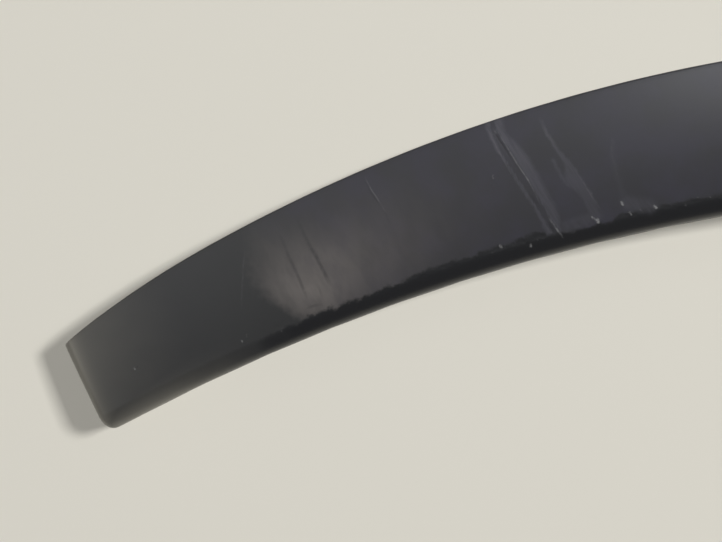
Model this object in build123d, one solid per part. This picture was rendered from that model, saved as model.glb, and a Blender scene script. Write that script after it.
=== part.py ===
import os
from math import asin, atan2, cos, degrees, radians, sin, sqrt

from build123d import *

# Wheel arch trim: one black moulding that frames the wheel opening of a car.
# It lies face up. X runs along the chord, Y points to the crown, Z points out of the face.
# It is drawn about the centre of the crown arc and stored about the middle of its footprint.

# Plan of the inner edge, over the tyre: a crown arc that runs on into two flatter legs
crown_radius = 385.0
leg_radius = 704.0
leg_start_angle = 57.0
leg_end_angle = 78.3

# Plan of the outer edge, against the body panel: the band narrows down each leg,
# and more quickly over the last length before its end
crown_width = 53.5
outer_leg_radius = 583.0
outer_end_radius = 330.0
outer_end_length = 60.0

# Roll-off of the face over the last, straight length of each leg
roll_length = 14.0
roll_radius = 40.0

# Section of the moulding
wall = 2.8
lip_height = 26.0
lip_slope = 3.0
face_radius = 300.0
lip_radius = 6.0
end_radius = 4.0
edge_radius = 1.2
return_depth = 7.0

# Bow of the flange edge, between the feet at the leg ends and the crown
bow_foot = 36.0
bow_length = 300.0
bow_height = 6.0

# Clip towers on the back, spaced evenly along the inner edge
clips_per_side = 5
clip_pitch = 138.0
tower_length = 20.0
tower_width = 17.0
tower_depth = 13.0
tower_wall = 1.8
seat_thickness = 2.0
seat_diameter = 8.4
slot_width = 6.8

# Gussets between flange and face, in pairs halfway between the clips
gusset_thickness = 1.6
gusset_reach = 14.0
gusset_drop = 15.0
gusset_spacing = 32.0

# Screw holes through the flange, at the crown and on both shoulders
screw_diameter = 5.5
screw_level = 9.0
screw_step = 2

# How far cutting and joining bodies run past the surfaces they meet
overrun = 6.0
nearness = 0.05


def toward(angle):
    """Direction in plan, turned from the crown to the left by an angle in degrees."""
    return Vector(-sin(radians(angle)), cos(radians(angle)))


# Centres of the plan circles, and the square cut across the end of the left leg
crown_centre = Vector(0, 0)
outer_radius = crown_radius + crown_width
leg_centre = toward(leg_start_angle) * (crown_radius - leg_radius)
outer_leg_centre = toward(leg_start_angle) * (outer_radius - outer_leg_radius)
end_across = toward(leg_end_angle)
end_inward = toward(leg_end_angle - 90)
end_point = leg_centre + end_across * leg_radius - end_inward * roll_length
crown_length = radians(leg_start_angle) * crown_radius

# Where the outer edge of the leg turns into its end arc, and the centre of that arc
outer_lead = outer_end_length - (outer_leg_centre - end_point).dot(end_inward)
outer_end_angle = leg_end_angle - degrees(asin(outer_lead / outer_leg_radius))
outer_end_centre = outer_leg_centre + toward(outer_end_angle) * (outer_leg_radius - outer_end_radius)

# Centre of the arc that crowns the face, measured out from the inner edge
face_centre_out = -face_radius * sin(radians(lip_slope))
face_centre_level = lip_height - face_radius * cos(radians(lip_slope))

# Height of the axis, square to the leg, that the face rolls off about
roll_level = lip_height - roll_radius


def face_level(out):
    """Height of the face at a distance out from the inner edge."""
    return face_centre_level + sqrt(face_radius**2 - (out - face_centre_out) ** 2)


def reach(start, along, centre, radius):
    """Distance from a point, along a direction, to the far side of a plan circle."""
    gap = start - centre
    lead = gap.dot(along)
    return sqrt(lead**2 - gap.dot(gap) + radius**2) - lead


def leg_arc(centre, radius, first, corner):
    """Arc of the left leg about a centre, from a first angle to a corner."""
    offset = corner - centre
    last = degrees(atan2(-offset.X, offset.Y))
    middle = centre + toward((first + last) / 2) * radius
    return ThreePointArc(centre + toward(first) * radius, middle, corner)


def outline(inner_inset, outer_inset, end_inset):
    """Plan of the band with its edges moved in by an inset each."""
    start = end_point + end_inward * end_inset
    inner = leg_radius + inner_inset
    outer = outer_leg_radius - outer_inset
    outer_end = outer_end_radius - outer_inset
    inner_corner = start + end_across * reach(start, end_across, leg_centre, inner)
    outer_corner = start + end_across * reach(start, end_across, outer_end_centre, outer_end)
    turning = outer_leg_centre + toward(outer_end_angle) * outer
    left = [
        leg_arc(leg_centre, inner, leg_start_angle, inner_corner),
        leg_arc(outer_leg_centre, outer, leg_start_angle, turning),
        leg_arc(outer_end_centre, outer_end, outer_end_angle, outer_corner),
        Line(inner_corner, outer_corner),
    ]
    right = [mirror(edge, about=Plane.YZ).edge() for edge in left]
    crowns = []
    for radius in (crown_radius + inner_inset, outer_radius - outer_inset):
        join = toward(leg_start_angle) * radius
        crowns.append(ThreePointArc(join, Vector(0, radius), Vector(-join.X, join.Y)))
    return make_face(Wire(left + right + crowns))


def raised(face):
    """Plan face drawn up from below the table to above the lip."""
    return Pos(0, 0, -overrun) * extrude(face, lip_height + 2 * overrun)


def section(start, drop, rounding):
    """Area below the crowned face: out from a start, top lowered by a drop, lip rounded."""
    width = crown_width + 2 * overrun
    height = roll_radius + overrun
    area = Pos(start + width / 2, roll_level + height / 2) * Rectangle(width, height)
    area &= Pos(face_centre_out, face_centre_level) * Circle(face_radius - drop)
    if rounding > 0:
        lip = area.vertices().group_by(Axis.X)[0].sort_by(Axis.Y)[-1]
        area = fillet(lip, rounding)
    return area


def carried(area):
    """Section carried round the crown, down both legs and over the roll-off at their ends."""
    crown = revolve(Plane.XZ * Pos(crown_radius, 0) * area, Axis.Z, 2 * leg_start_angle)
    crown = Rot(0, 0, 90 - leg_start_angle) * crown
    across = Plane.XZ * Pos(leg_radius, 0) * area
    leg = revolve(across, Axis.Z, leg_end_angle - leg_start_angle)
    roll = revolve(across, Axis((0, 0, roll_level), (-1, 0, 0)), 90)
    left = Pos(leg_centre) * Rot(0, 0, 90 + leg_start_angle) * leg
    left += Pos(leg_centre) * Rot(0, 0, 90 + leg_end_angle) * roll
    return crown + left + mirror(left, about=Plane.YZ)


def beside(edge, centre, radius):
    """Whether the middle of an edge stands on a plan circle, on either leg."""
    spot = edge @ 0.5
    gap = sqrt((abs(spot.X) + centre.X) ** 2 + (spot.Y - centre.Y) ** 2)
    return abs(gap - radius) < nearness


def on_outer(edge):
    """Whether an edge runs along the outer wall."""
    crown = beside(edge, crown_centre, outer_radius)
    leg = beside(edge, outer_leg_centre, outer_leg_radius)
    return crown or leg or beside(edge, outer_end_centre, outer_end_radius)


def on_end(edge):
    """Whether an edge runs along an end cut."""
    spot = edge @ 0.5
    mirrored = Vector(-abs(spot.X), spot.Y)
    return abs((mirrored - end_point).dot(end_inward)) < nearness


def form(inset):
    """Solid shape of the trim with every surface moved in by an inset, open to below."""
    rounding = max(lip_radius - inset, nearness)
    return carried(section(inset, inset, rounding)) & raised(outline(-overrun, inset, inset))


# Outer skin, with its ends rounded and its outer edge broken, and the hollow behind it
skin = form(0)
tops = [edge for edge in skin.edges() if (edge @ 0.5).Z > 0]
ends = [edge for edge in tops if on_end(edge) and not on_outer(edge)]
skin = fillet(ends, end_radius)
rim = [edge for edge in skin.edges() if on_outer(edge) and (edge @ 0.5).Z > 0]
skin = fillet(rim, edge_radius)
hollow = form(wall)

# Space under the outer return and the end returns, which stop short of the flange edge
undercut = carried(section(wall, return_depth, 0))

# Everything below the resting plane, and the bow that lifts the flange edge along each leg
below = Pos(0, 0, -overrun) * Box(4 * outer_radius, 4 * outer_radius, 2 * overrun)
bow_radius = (bow_length**2 / 4 + bow_height**2) / (2 * bow_height)
bow_middle = end_point.Y + bow_foot + bow_length / 2
bow = Pos(0, bow_middle, bow_height - bow_radius) * Rot(0, 90, 0) * Cylinder(bow_radius, 4 * outer_radius)

moulding = skin - hollow - undercut - below - bow


def station(distance, out):
    """Place at a distance along the inner edge from the crown and a distance out; X points out."""
    if distance < crown_length:
        centre, radius, angle = crown_centre, crown_radius, degrees(distance / crown_radius)
    else:
        angle = leg_start_angle + degrees((distance - crown_length) / leg_radius)
        centre, radius = leg_centre, leg_radius
    spot = centre + toward(angle) * (radius + out)
    return Pos(spot) * Pos(0, 0, face_level(out)) * Rot(0, 0, 90 + angle)


def band_width(distance):
    """Width of the band, square to the inner edge, at a distance along it from the crown."""
    if distance < crown_length:
        return crown_width
    angle = leg_start_angle + degrees((distance - crown_length) / leg_radius)
    edge = leg_centre + toward(angle) * leg_radius
    return reach(edge, toward(angle), outer_leg_centre, outer_leg_radius)


def clip_tower():
    """Three-walled box with a slotted seat plate; its mouth faces along the band."""
    high = tower_depth + overrun
    block = Pos(0, 0, high / 2 - tower_depth) * Box(tower_width, tower_length, high)
    room = Box(tower_width - 2 * tower_wall, tower_length, high)
    room = Pos(0, tower_wall, high / 2 - tower_depth + seat_thickness) * room
    seat = Cylinder(seat_diameter / 2, 4 * seat_thickness)
    slot = Pos(0, tower_length / 2, 0) * Box(slot_width, tower_length, 4 * seat_thickness)
    return block - room - Pos(0, 0, -tower_depth) * (seat + slot)


def gusset():
    """Thin corner plate under the lip; X points out from the inner edge."""
    corners = [(0, overrun), (gusset_reach, overrun), (gusset_reach, -wall), (0, -gusset_drop)]
    profile = make_face(Polyline(*corners, close=True))
    return extrude(Plane.XZ * profile, gusset_thickness / 2, both=True)


# Towers and gussets of the left half, trimmed inside the wall, then mirrored to the right
inside = form(wall / 2)
tower = clip_tower()
plate = gusset()
backing = []
for step in range(clips_per_side):
    distance = (step + 0.5) * clip_pitch
    backing.append(station(distance, band_width(distance) / 2) * tower)
    for offset in (-gusset_spacing / 2, gusset_spacing / 2):
        if step > 0 or offset > 0:
            backing.append(station(step * clip_pitch + offset, 0) * plate)
for piece in backing:
    trimmed = piece & inside
    moulding += trimmed
    moulding += mirror(trimmed, about=Plane.YZ)

# Screw holes, square through the flange
drill = Rot(0, 90, 0) * Cylinder(screw_diameter / 2, 4 * wall)
drill = Pos(0, 0, screw_level - lip_height) * drill
moulding -= station(0, 0) * drill
shoulder = station(screw_step * clip_pitch, 0) * drill
moulding -= shoulder
moulding -= mirror(shoulder, about=Plane.YZ)

# Store the trim with the middle of its footprint at the origin, resting on the flange
footprint = moulding.bounding_box()
moulding = Pos(-footprint.center().X, -footprint.center().Y, -footprint.min.Z) * moulding

os.makedirs("parts", exist_ok=True)
export_step(moulding.solid(), "parts/arch_moulding.step")
print("crown centre stored at Y", round(-footprint.center().Y, 4))
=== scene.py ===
# %% [markdown]
# # A worn wheel arch trim
# The trim is one black plastic moulding that frames the wheel opening of a car. It lies face up on a
# pale table, and the picture shows one leg of it from above. This lesson loads the imported solid, cuts
# its face into fine cells, wears the shown leg with marks, and gives it a satin finish
# built from small node groups.

import math

import bmesh
import bpy
import numpy as np
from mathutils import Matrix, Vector, noise


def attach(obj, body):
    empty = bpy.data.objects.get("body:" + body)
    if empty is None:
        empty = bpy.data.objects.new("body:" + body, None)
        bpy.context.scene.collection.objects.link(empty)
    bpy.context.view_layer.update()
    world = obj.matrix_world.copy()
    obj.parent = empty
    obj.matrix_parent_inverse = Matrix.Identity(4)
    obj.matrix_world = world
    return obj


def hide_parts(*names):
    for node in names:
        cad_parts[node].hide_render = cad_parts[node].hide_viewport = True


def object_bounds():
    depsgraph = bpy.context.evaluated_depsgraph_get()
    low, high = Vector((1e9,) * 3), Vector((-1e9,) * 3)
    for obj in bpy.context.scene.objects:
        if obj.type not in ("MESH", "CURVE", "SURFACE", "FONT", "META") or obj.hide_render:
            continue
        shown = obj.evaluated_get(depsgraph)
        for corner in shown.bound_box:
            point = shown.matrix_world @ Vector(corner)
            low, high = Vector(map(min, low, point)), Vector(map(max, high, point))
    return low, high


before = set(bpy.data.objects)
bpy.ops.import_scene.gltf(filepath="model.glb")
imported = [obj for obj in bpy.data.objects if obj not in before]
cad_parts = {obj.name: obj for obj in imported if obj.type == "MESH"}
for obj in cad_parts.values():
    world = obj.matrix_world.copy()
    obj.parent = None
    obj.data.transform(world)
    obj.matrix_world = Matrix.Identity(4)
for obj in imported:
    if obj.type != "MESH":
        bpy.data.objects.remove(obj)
cad_low, cad_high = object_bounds()
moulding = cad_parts["arch_moulding"]
print("loaded", moulding.name, "with", len(moulding.data.polygons), "faces")

# %% [markdown]
# The moulding has one section carried round a crown arc and two flatter legs, and the face rolls off
# over the last straight length of each leg. Blender works in metres and the part is thought of in
# millimetres, so lengths are kept in millimetres and scaled once. The values repeat those of the solid,
# because the fine skin has to lie exactly on it.

# %% Sizes of the moulding in millimetres
MM = 0.001
CROWN_RADIUS = 385.0
CROWN_WIDTH = 53.5
LEG_RADIUS = 704.0
LEG_START = 57.0
LEG_END = 78.3
OUTER_LEG_RADIUS = 583.0
OUTER_END_RADIUS = 330.0
OUTER_END_LENGTH = 60.0
ROLL_LENGTH = 14.0
ROLL_RADIUS = 40.0
LIP_HEIGHT = 26.0
LIP_SLOPE = 3.0
FACE_RADIUS = 300.0
LIP_RADIUS = 6.0
END_RADIUS = 4.0
EDGE_RADIUS = 1.2
OUTER_RADIUS = CROWN_RADIUS + CROWN_WIDTH
CROWN_Y = cad_high.y / MM - OUTER_RADIUS
FACE_OUT = -FACE_RADIUS * math.sin(math.radians(LIP_SLOPE))
FACE_LEVEL = LIP_HEIGHT - FACE_RADIUS * math.cos(math.radians(LIP_SLOPE))
LIP_LEVEL = FACE_LEVEL + math.sqrt((FACE_RADIUS - LIP_RADIUS) ** 2 - (LIP_RADIUS - FACE_OUT) ** 2)
ROLL_LEVEL = LIP_HEIGHT - ROLL_RADIUS
LEG_LENGTH = ROLL_LENGTH + math.radians(LEG_END - LEG_START) * LEG_RADIUS


def toward(angle):
    """Direction in plan, turned from the crown to the left by an angle in degrees."""
    turn = math.radians(angle)
    return np.array([-math.sin(turn), math.cos(turn)])


LEG_CENTRE = toward(LEG_START) * (CROWN_RADIUS - LEG_RADIUS)
OUTER_LEG_CENTRE = toward(LEG_START) * (OUTER_RADIUS - OUTER_LEG_RADIUS)
END_ACROSS = toward(LEG_END)
END_INWARD = toward(LEG_END - 90)
END_POINT = LEG_CENTRE + END_ACROSS * LEG_RADIUS - END_INWARD * ROLL_LENGTH
outer_lead = OUTER_END_LENGTH - (OUTER_LEG_CENTRE - END_POINT) @ END_INWARD
OUTER_END_ANGLE = LEG_END - math.degrees(math.asin(outer_lead / OUTER_LEG_RADIUS))
OUTER_END_CENTRE = OUTER_LEG_CENTRE + toward(OUTER_END_ANGLE) * (OUTER_LEG_RADIUS - OUTER_END_RADIUS)
print("crown centre at Y", round(CROWN_Y, 3), "mm, leg length", round(LEG_LENGTH, 1), "mm")

# %% [markdown]
# Every point of the skin has four plain measures: how far out it is from the inner edge, how far in
# from the outer edge, how far along from the end of its leg, and how far from the square end cut. Both
# legs are mirror images, so the measures are taken on the left one.

# %% Measures of the skin
FAR = 1000.0


def turned(offset):
    """Angle in degrees of plan offsets, turned from the crown to the left."""
    return np.degrees(np.arctan2(-offset[:, 0], offset[:, 1]))


def measures(points):
    """Out, in, along and end distances in millimetres for an array of points in millimetres."""
    plan = np.stack([-np.abs(points[:, 0]), points[:, 1] - CROWN_Y], axis=1)
    leg_angle, crown_angle = turned(plan - LEG_CENTRE), turned(plan)
    radius = np.hypot(*plan.T)
    end = (plan - END_POINT) @ END_INWARD
    on_leg = leg_angle > LEG_START
    rolls = on_leg & (end < ROLL_LENGTH)
    out = np.where(on_leg, np.hypot(*(plan - LEG_CENTRE).T) - LEG_RADIUS, radius - CROWN_RADIUS)
    out = np.where(rolls, (plan - END_POINT) @ END_ACROSS, out)
    leg_in = OUTER_LEG_RADIUS - np.hypot(*(plan - OUTER_LEG_CENTRE).T)
    end_in = OUTER_END_RADIUS - np.hypot(*(plan - OUTER_END_CENTRE).T)
    leg_in = np.where(turned(plan - OUTER_LEG_CENTRE) > OUTER_END_ANGLE, end_in, leg_in)
    inward = np.where(on_leg, leg_in, OUTER_RADIUS - radius)
    leg_run = ROLL_LENGTH + np.radians(LEG_END - leg_angle) * LEG_RADIUS
    crown_run = LEG_LENGTH + np.radians(LEG_START - crown_angle) * CROWN_RADIUS
    along = np.where(rolls, end, np.where(on_leg, leg_run, crown_run))
    return out, inward, along, np.where(on_leg, end, FAR)


points = np.array([v.co for v in moulding.data.vertices]) / MM
out, inward, along, end = measures(points)
print("the solid reaches", round(out.max(), 1), "mm out and", round(along.max()), "mm along")

# %% [markdown]
# The height of the face follows from these measures. The lip is a rounding of its own, the roll-off
# turns the section about an axis below the table, the leg end is a ball rolled along the rolled face,
# and the outer rim is a small rounding that is taken off last.

# %% Height of the skin
CLOSE_MATCH = 0.05


def profile(out, drop):
    """Height of the section at a distance out, with its surface moved in by a drop."""
    face = FACE_LEVEL + np.sqrt((FACE_RADIUS - drop) ** 2 - (out - FACE_OUT) ** 2)
    meets = FACE_OUT + (LIP_RADIUS - FACE_OUT) * (FACE_RADIUS - drop) / (FACE_RADIUS - LIP_RADIUS)
    bulge = (LIP_RADIUS - drop) ** 2 - (LIP_RADIUS - out) ** 2
    return np.where(out < meets, LIP_LEVEL + np.sqrt(np.clip(bulge, 0, None)), face)


def skin_level(out, inward, end):
    """Height of the moulded skin in millimetres, with its lip, roll-off, end and rim roundings."""
    near = np.clip(EDGE_RADIUS - inward, 0, EDGE_RADIUS)
    out = out - near
    run = np.clip(ROLL_LENGTH - end, 0, ROLL_LENGTH)
    rolled = ROLL_LEVEL + np.sqrt((profile(out, 0) - ROLL_LEVEL) ** 2 - run**2)
    hub = ROLL_LENGTH - END_RADIUS
    arm = profile(out, END_RADIUS) - ROLL_LEVEL
    sink = arm - np.sqrt(arm**2 - hub**2)
    drop = END_RADIUS - np.sqrt(END_RADIUS**2 - np.clip(run - hub, 0, END_RADIUS) ** 2)
    level = np.where(run > hub * (1 + END_RADIUS / arm), profile(out, drop) - sink, rolled)
    return level - EDGE_RADIUS + np.sqrt(EDGE_RADIUS**2 - near**2)


matched = np.abs(points[:, 2] - skin_level(out, inward, end)) < CLOSE_MATCH
print("corners of the solid that lie on the measured skin:", int(matched.sum()), "of", len(points))

# %% [markdown]
# The camera looks straight down on the left leg, turned so that the leg runs up to the right. The
# picture is 722 by 542 pixels, and the lens is given by its focal length in those pixels. Marks are
# later placed in millimetres to the right of and above the middle of the picture.

# %% Camera
PICTURE_WIDTH = 722
FOCAL_PIXELS = 1000.0
SENSOR_WIDTH = 36.0
CAMERA_PLACE = (-412.77, 58.23 + CROWN_Y, 365.0)
CAMERA_ROLL = 50.796
NEAREST_SEEN = 0.01

camera_data = bpy.data.cameras.new("overhead_camera")
camera_data.sensor_fit = "HORIZONTAL"
camera_data.sensor_width = SENSOR_WIDTH
camera_data.lens = SENSOR_WIDTH * FOCAL_PIXELS / PICTURE_WIDTH
camera_data.clip_start = NEAREST_SEEN
camera = bpy.data.objects.new("overhead_camera", camera_data)
camera.location = Vector(CAMERA_PLACE) * MM
camera.rotation_euler = (0, 0, math.radians(CAMERA_ROLL))
bpy.context.scene.collection.objects.link(camera)
bpy.context.scene.camera = camera
print("camera", [round(c, 4) for c in camera.location], "lens", round(camera_data.lens, 2))

# %% [markdown]
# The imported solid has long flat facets, which can't carry a scratch. A copy of it is cut into cells by
# planes. Cutting keeps the mesh closed, so the back of the moulding stays joined to its face, and the
# towers and gussets behind it stay as they are.

# %% Copy the solid and weld it
WELD = 0.00001

skin_mesh = moulding.data.copy()
skin = bpy.data.objects.new("arch_trim_skin", skin_mesh)
bpy.context.scene.collection.objects.link(skin)
cells = bmesh.new()
cells.from_mesh(skin_mesh)
bmesh.ops.remove_doubles(cells, verts=cells.verts, dist=WELD)
print("welded copy:", len(cells.verts), "points,", len(cells.faces), "faces")

# %% [markdown]
# Only the moulded face is cut, so it has to be told from the back: its corners lie on the measured
# height. A long row of cuts is quick when the middle cut comes first and each half then only meets its
# own half of the row.

# %% Ways to pick and cut the skin
NEAR_SKIN = 0.3
CUT_SLACK = 1e-8


def skin_faces(mesh):
    """Faces whose corners all lie on the measured skin."""
    mesh.verts.index_update()
    spots = np.array([v.co for v in mesh.verts]) / MM
    spot_out, spot_in, _, spot_end = measures(spots)
    close = np.abs(spots[:, 2] - skin_level(spot_out, spot_in, spot_end)) < NEAR_SKIN
    return [face for face in mesh.faces if all(close[v.index] for v in face.verts)]


def slice_faces(mesh, faces, cuts):
    """Cut faces by a row of planes, given as places and normals, halving the row each time."""
    if not faces or not cuts:
        return faces
    middle = len(cuts) // 2
    place, normal = cuts[middle]
    parts = set(faces)
    for face in faces:
        parts.update(face.edges)
        parts.update(face.verts)
    made = bmesh.ops.bisect_plane(mesh, geom=list(parts), dist=CUT_SLACK, plane_co=place, plane_no=normal)
    before, beyond = [], []
    for item in made["geom"]:
        if isinstance(item, bmesh.types.BMFace):
            is_beyond = (item.calc_center_median() - place).dot(normal) > 0
            (beyond if is_beyond else before).append(item)
    return slice_faces(mesh, before, cuts[:middle]) + slice_faces(mesh, beyond, cuts[middle + 1 :])


def row_of_cuts(faces, normal, step):
    """Planes square to a normal, a step apart, across the reach of some faces."""
    reaches = [v.co.dot(normal) for face in faces for v in face.verts]
    places = np.arange(min(reaches) + step * MM / 2, max(reaches), step * MM)
    return [(normal * place, normal) for place in places]


print("faces on the skin before cutting:", len(skin_faces(cells)))

# %% [markdown]
# The leg in the picture gets cells of about half a millimetre, small enough for a chip. The rest of the
# trim is only seen from further away, so it is cut by spokes, one for each degree, and by level planes
# that round off the lip. One cut parts the two, a little beyond the edge of the picture.

# %% Cut the shown leg into small cells and the rest into larger ones
SHOWN_LENGTH = 246.0
CELL = 0.53
CELL_UP = 0.9
LEG_TILT = 19.0
REST_FROM = -100.0
REST_STEP = 1.0
REST_UP = 0.7

leg_turn = math.radians(CAMERA_ROLL + LEG_TILT)
leg_way = Vector((math.cos(leg_turn), math.sin(leg_turn), 0))
leg_side = Vector((-leg_way.y, leg_way.x, 0))
upward = Vector((0, 0, 1))
crown_axis = Vector((0, CROWN_Y * MM, 0))
part_angle = LEG_END - math.degrees((SHOWN_LENGTH - ROLL_LENGTH) / LEG_RADIUS)
part_place = Vector((*(LEG_CENTRE + toward(part_angle) * LEG_RADIUS + [0, CROWN_Y]), 0)) * MM
part_normal = Vector((*toward(part_angle + 90), 0))
everything = [*cells.verts, *cells.edges, *cells.faces]
bmesh.ops.bisect_plane(cells, geom=everything, dist=CUT_SLACK, plane_co=part_place, plane_no=part_normal)
shown_faces, rest_faces = [], []
for face in skin_faces(cells):
    middle = face.calc_center_median()
    shown = middle.x < 0 and (middle - part_place).dot(part_normal) > 0
    (shown_faces if shown else rest_faces).append(face)
for normal, step in ((leg_way, CELL), (leg_side, CELL), (upward, CELL_UP)):
    shown_faces = slice_faces(cells, shown_faces, row_of_cuts(shown_faces, normal, step))
turns = np.arange(REST_FROM, part_angle - REST_STEP / 2, REST_STEP)
spokes = [(crown_axis, Vector((*toward(turn + 90), 0))) for turn in turns]
rest_faces = slice_faces(cells, rest_faces, spokes)
rest_faces = slice_faces(cells, rest_faces, row_of_cuts(rest_faces, upward, REST_UP))
print("shown leg:", len(shown_faces), "cells, rest of the face:", len(rest_faces), "cells")

# %% [markdown]
# A cut through a flat facet leaves its new points on the facet, a little below the true face. Each
# point is lifted to the measured height, and points that a facet left inside the lip's arc are moved
# out to it. The face is then smooth without any smoothing filter.

# %% Lift the cells onto the measured skin
LONGEST_LIFT = 1.2


def outward(points):
    """Plan direction away from the inner edge at points in millimetres."""
    plan = np.stack([-np.abs(points[:, 0]), points[:, 1] - CROWN_Y], axis=1)
    from_leg = plan - LEG_CENTRE
    on_leg = turned(from_leg) > LEG_START
    way = np.where(on_leg[:, None], from_leg, plan)
    way /= np.linalg.norm(way, axis=1)[:, None]
    way[on_leg & ((plan - END_POINT) @ END_INWARD < ROLL_LENGTH)] = END_ACROSS
    way[:, 0] *= -np.sign(points[:, 0])
    return way


skin_points = list({v for face in shown_faces + rest_faces for v in face.verts})
spots = np.array([v.co for v in skin_points]) / MM
out, inward, along, end = measures(spots)
short = np.clip(-out, 0, LONGEST_LIFT)
spots[:, :2] += outward(spots) * short[:, None]
out, inward, along, end = measures(spots)
lift = skin_level(out, inward, end) - spots[:, 2]
lift[np.abs(lift) > LONGEST_LIFT] = 0
spots[:, 2] += lift
for point, spot in zip(skin_points, spots):
    point.co = Vector(spot) * MM
cells.normal_update()
print("lift from", round(lift.min(), 3), "to", round(lift.max(), 3), "mm")

# %% [markdown]
# The marks are what years of use left on this trim. The widest are rubs, where something was dragged
# over the band, and smears beside them. Each has a name and a place in millimetres to the right of and
# above the middle of the picture, so that any of them can be moved or left out by itself.

# %% Named rubs and smears
# Rubs: left edge and right edge from top to bottom, softness of each, strength at the top and bottom
RUBS = {
    "long_rub_left": (
        [(42.0, 51.3), (43.3, 47.6), (45.7, 42.0), (49.4, 36.7), (53.9, 28.3), (59.1, 20.4), (62.5, 12.9)],
        [(44.6, 51.2), (45.5, 47.6), (48.1, 41.9), (50.7, 36.7), (56.0, 28.3), (60.8, 20.4), (65.2, 12.9)],
        (0.9, 0.7, 0.85, 0.6),
    ),
    "long_rub_right": (
        [(45.3, 51.9), (47.2, 47.6), (50.5, 41.9), (54.8, 34.6), (58.7, 28.0), (64.2, 17.7), (67.2, 13.6)],
        [(50.0, 52.6), (50.8, 47.6), (54.5, 44.0), (58.4, 39.4), (63.3, 29.7), (68.0, 20.4), (69.4, 13.6)],
        (0.5, 2.4, 0.8, 0.55),
    ),
    "short_rub": (
        [(61.8, 51.7), (62.7, 48.2), (66.5, 40.8), (68.8, 37.3)]
        + [(69.2, 29.7), (72.9, 26.9), (75.5, 23.5), (77.1, 18.7)],
        [(63.2, 51.7), (64.4, 47.8), (68.1, 41.8), (72.3, 37.3)]
        + [(75.7, 32.1), (78.8, 26.9), (80.6, 23.5), (81.8, 18.7)],
        (1.2, 0.9, 0.7, 0.3),
    ),
}
# Smears: start, end, width, strength
SMEARS = {
    "crease_smear": ((69.3, 15.0), (80.2, 19.0), 4.6, 0.28),
    "short_rub_side": ((65.7, 38.0), (69.3, 30.7), 1.5, 0.4),
    "lip_pale_patch": ((90.6, 23.2), (97.8, 21.8), 6.4, 0.36),
    "faint_rub_upper": ((86.3, 44.9), (85.8, 39.0), 1.6, 0.16),
    "faint_rub_lower": ((85.8, 39.0), (88.8, 26.5), 3.0, 0.12),
}
print(len(RUBS), "rubs:", ", ".join(RUBS), "and", len(SMEARS), "smears")

# %% [markdown]
# Left of the middle the face is paler, in a broad pale patch. It has a fairly clear left edge and fades out
# to the right, so it is built from a few soft patches that add up, stopped by one edge line.

# %% Named haze patches
# Left edge of the haze, from top to bottom
HAZE_EDGE = [
    (-43.3, 17.0),
    (-41.3, 10.7),
    (-40.7, 2.4),
    (-38.9, -3.1),
    (-34.5, -8.4),
    (-29.0, -12.2),
    (-24.0, -15.0),
    (-20.5, -17.0),
]
HAZE_TURN = -64.0
# Patches: place, reach along and across the turn of the haze, strength
HAZE_PATCHES = {
    "broad": ((-11.0, -2.0), 17.0, 36.0, 0.50),
    "core": ((-17.0, -4.0), 13.0, 9.0, 0.48),
    "low_spot": ((-16.5, -6.5), 3.5, 2.6, 0.18),
    "left_spot": ((-26.8, -5.8), 5.0, 4.5, 0.17),
    "upper_left": ((-33.0, 6.5), 9.0, 6.0, 0.10),
    "right_spot": ((-7.5, 3.2), 8.0, 7.0, 0.10),
}
print(len(HAZE_PATCHES), "haze patches:", ", ".join(HAZE_PATCHES))

# %% [markdown]
# Thin marks come in two kinds. A groove is pressed in, and the shade in it is painted dark; a scratch
# has turned up a light edge. The long rub has both side by side. A speck of painted shade beside a light
# one makes a small pit.

# %% Named grooves
# Grooves, darkened with painted shade: points from top to bottom, strength at each, width and depth
SHADED_GROOVES = {
    "long_groove": (
        [(46.1, 48.3), (46.9, 46.5), (48.5, 43.7), (50.0, 41.4), (51.8, 38.1), (54.4, 34.2)],
        [0.0, 0.9, 1.0, 0.7, 0.15, 0.0],
        (0.8, 0.08),
    ),
    "middle_groove": (
        [(57.3, 26.9), (58.6, 24.9), (59.9, 23.0), (61.2, 20.8)],
        [0.0, 0.4, 0.45, 0.0],
        (1.6, 0.05),
    ),
    "foot_groove": ([(63.4, 17.0), (64.7, 14.8), (66.2, 12.3)], [0.0, 0.6, 0.3], (1.3, 0.06)),
    "left_score": (
        [(-29.6, 14.4), (-26.7, 10.3), (-25.0, 5.5), (-23.2, 2.0)]
        + [(-21.1, -2.7), (-19.7, -6.1), (-18.0, -10.2)],
        [0.0, 0.2, 0.3, 0.35, 0.4, 0.4, 0.0],
        (1.8, 0.05),
    ),
    "right_score": (
        [(-22.4, 19.6), (-20.9, 15.4), (-19.2, 12.0), (-17.1, 7.9)]
        + [(-15.0, 4.4), (-12.3, -1.0), (-10.2, -5.4)],
        [0.0, 0.3, 0.3, 0.4, 0.5, 0.5, 0.0],
        (2.0, 0.06),
    ),
    "short_score": ([(-15.0, -4.4), (-13.9, -6.8), (-12.9, -9.2)], [0.0, 0.25, 0.0], (1.4, 0.03)),
    "lip_score": ([(-19.7, -13.2), (-16.3, -11.9), (-12.6, -11.2)], [0.0, 0.3, 0.0], (1.5, 0.03)),
    "scratch_shade": (
        [(1.2, 31.3), (2.9, 27.8), (5.0, 24.7), (7.7, 20.1)],
        [0.0, 0.35, 0.4, 0.0],
        (0.9, 0.02),
    ),
    "scratch_tail": ([(7.5, 21.6), (8.9, 18.5), (10.2, 15.0)], [0.0, 0.3, 0.0], (1.0, 0.02)),
    "speck_shade": ([(-76.6, -33.1), (-76.2, -32.7), (-75.8, -32.3)], [0.0, 0.8, 0.0], (0.8, 0.02)),
}
print(len(SHADED_GROOVES), "grooves:", ", ".join(SHADED_GROOVES))

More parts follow.
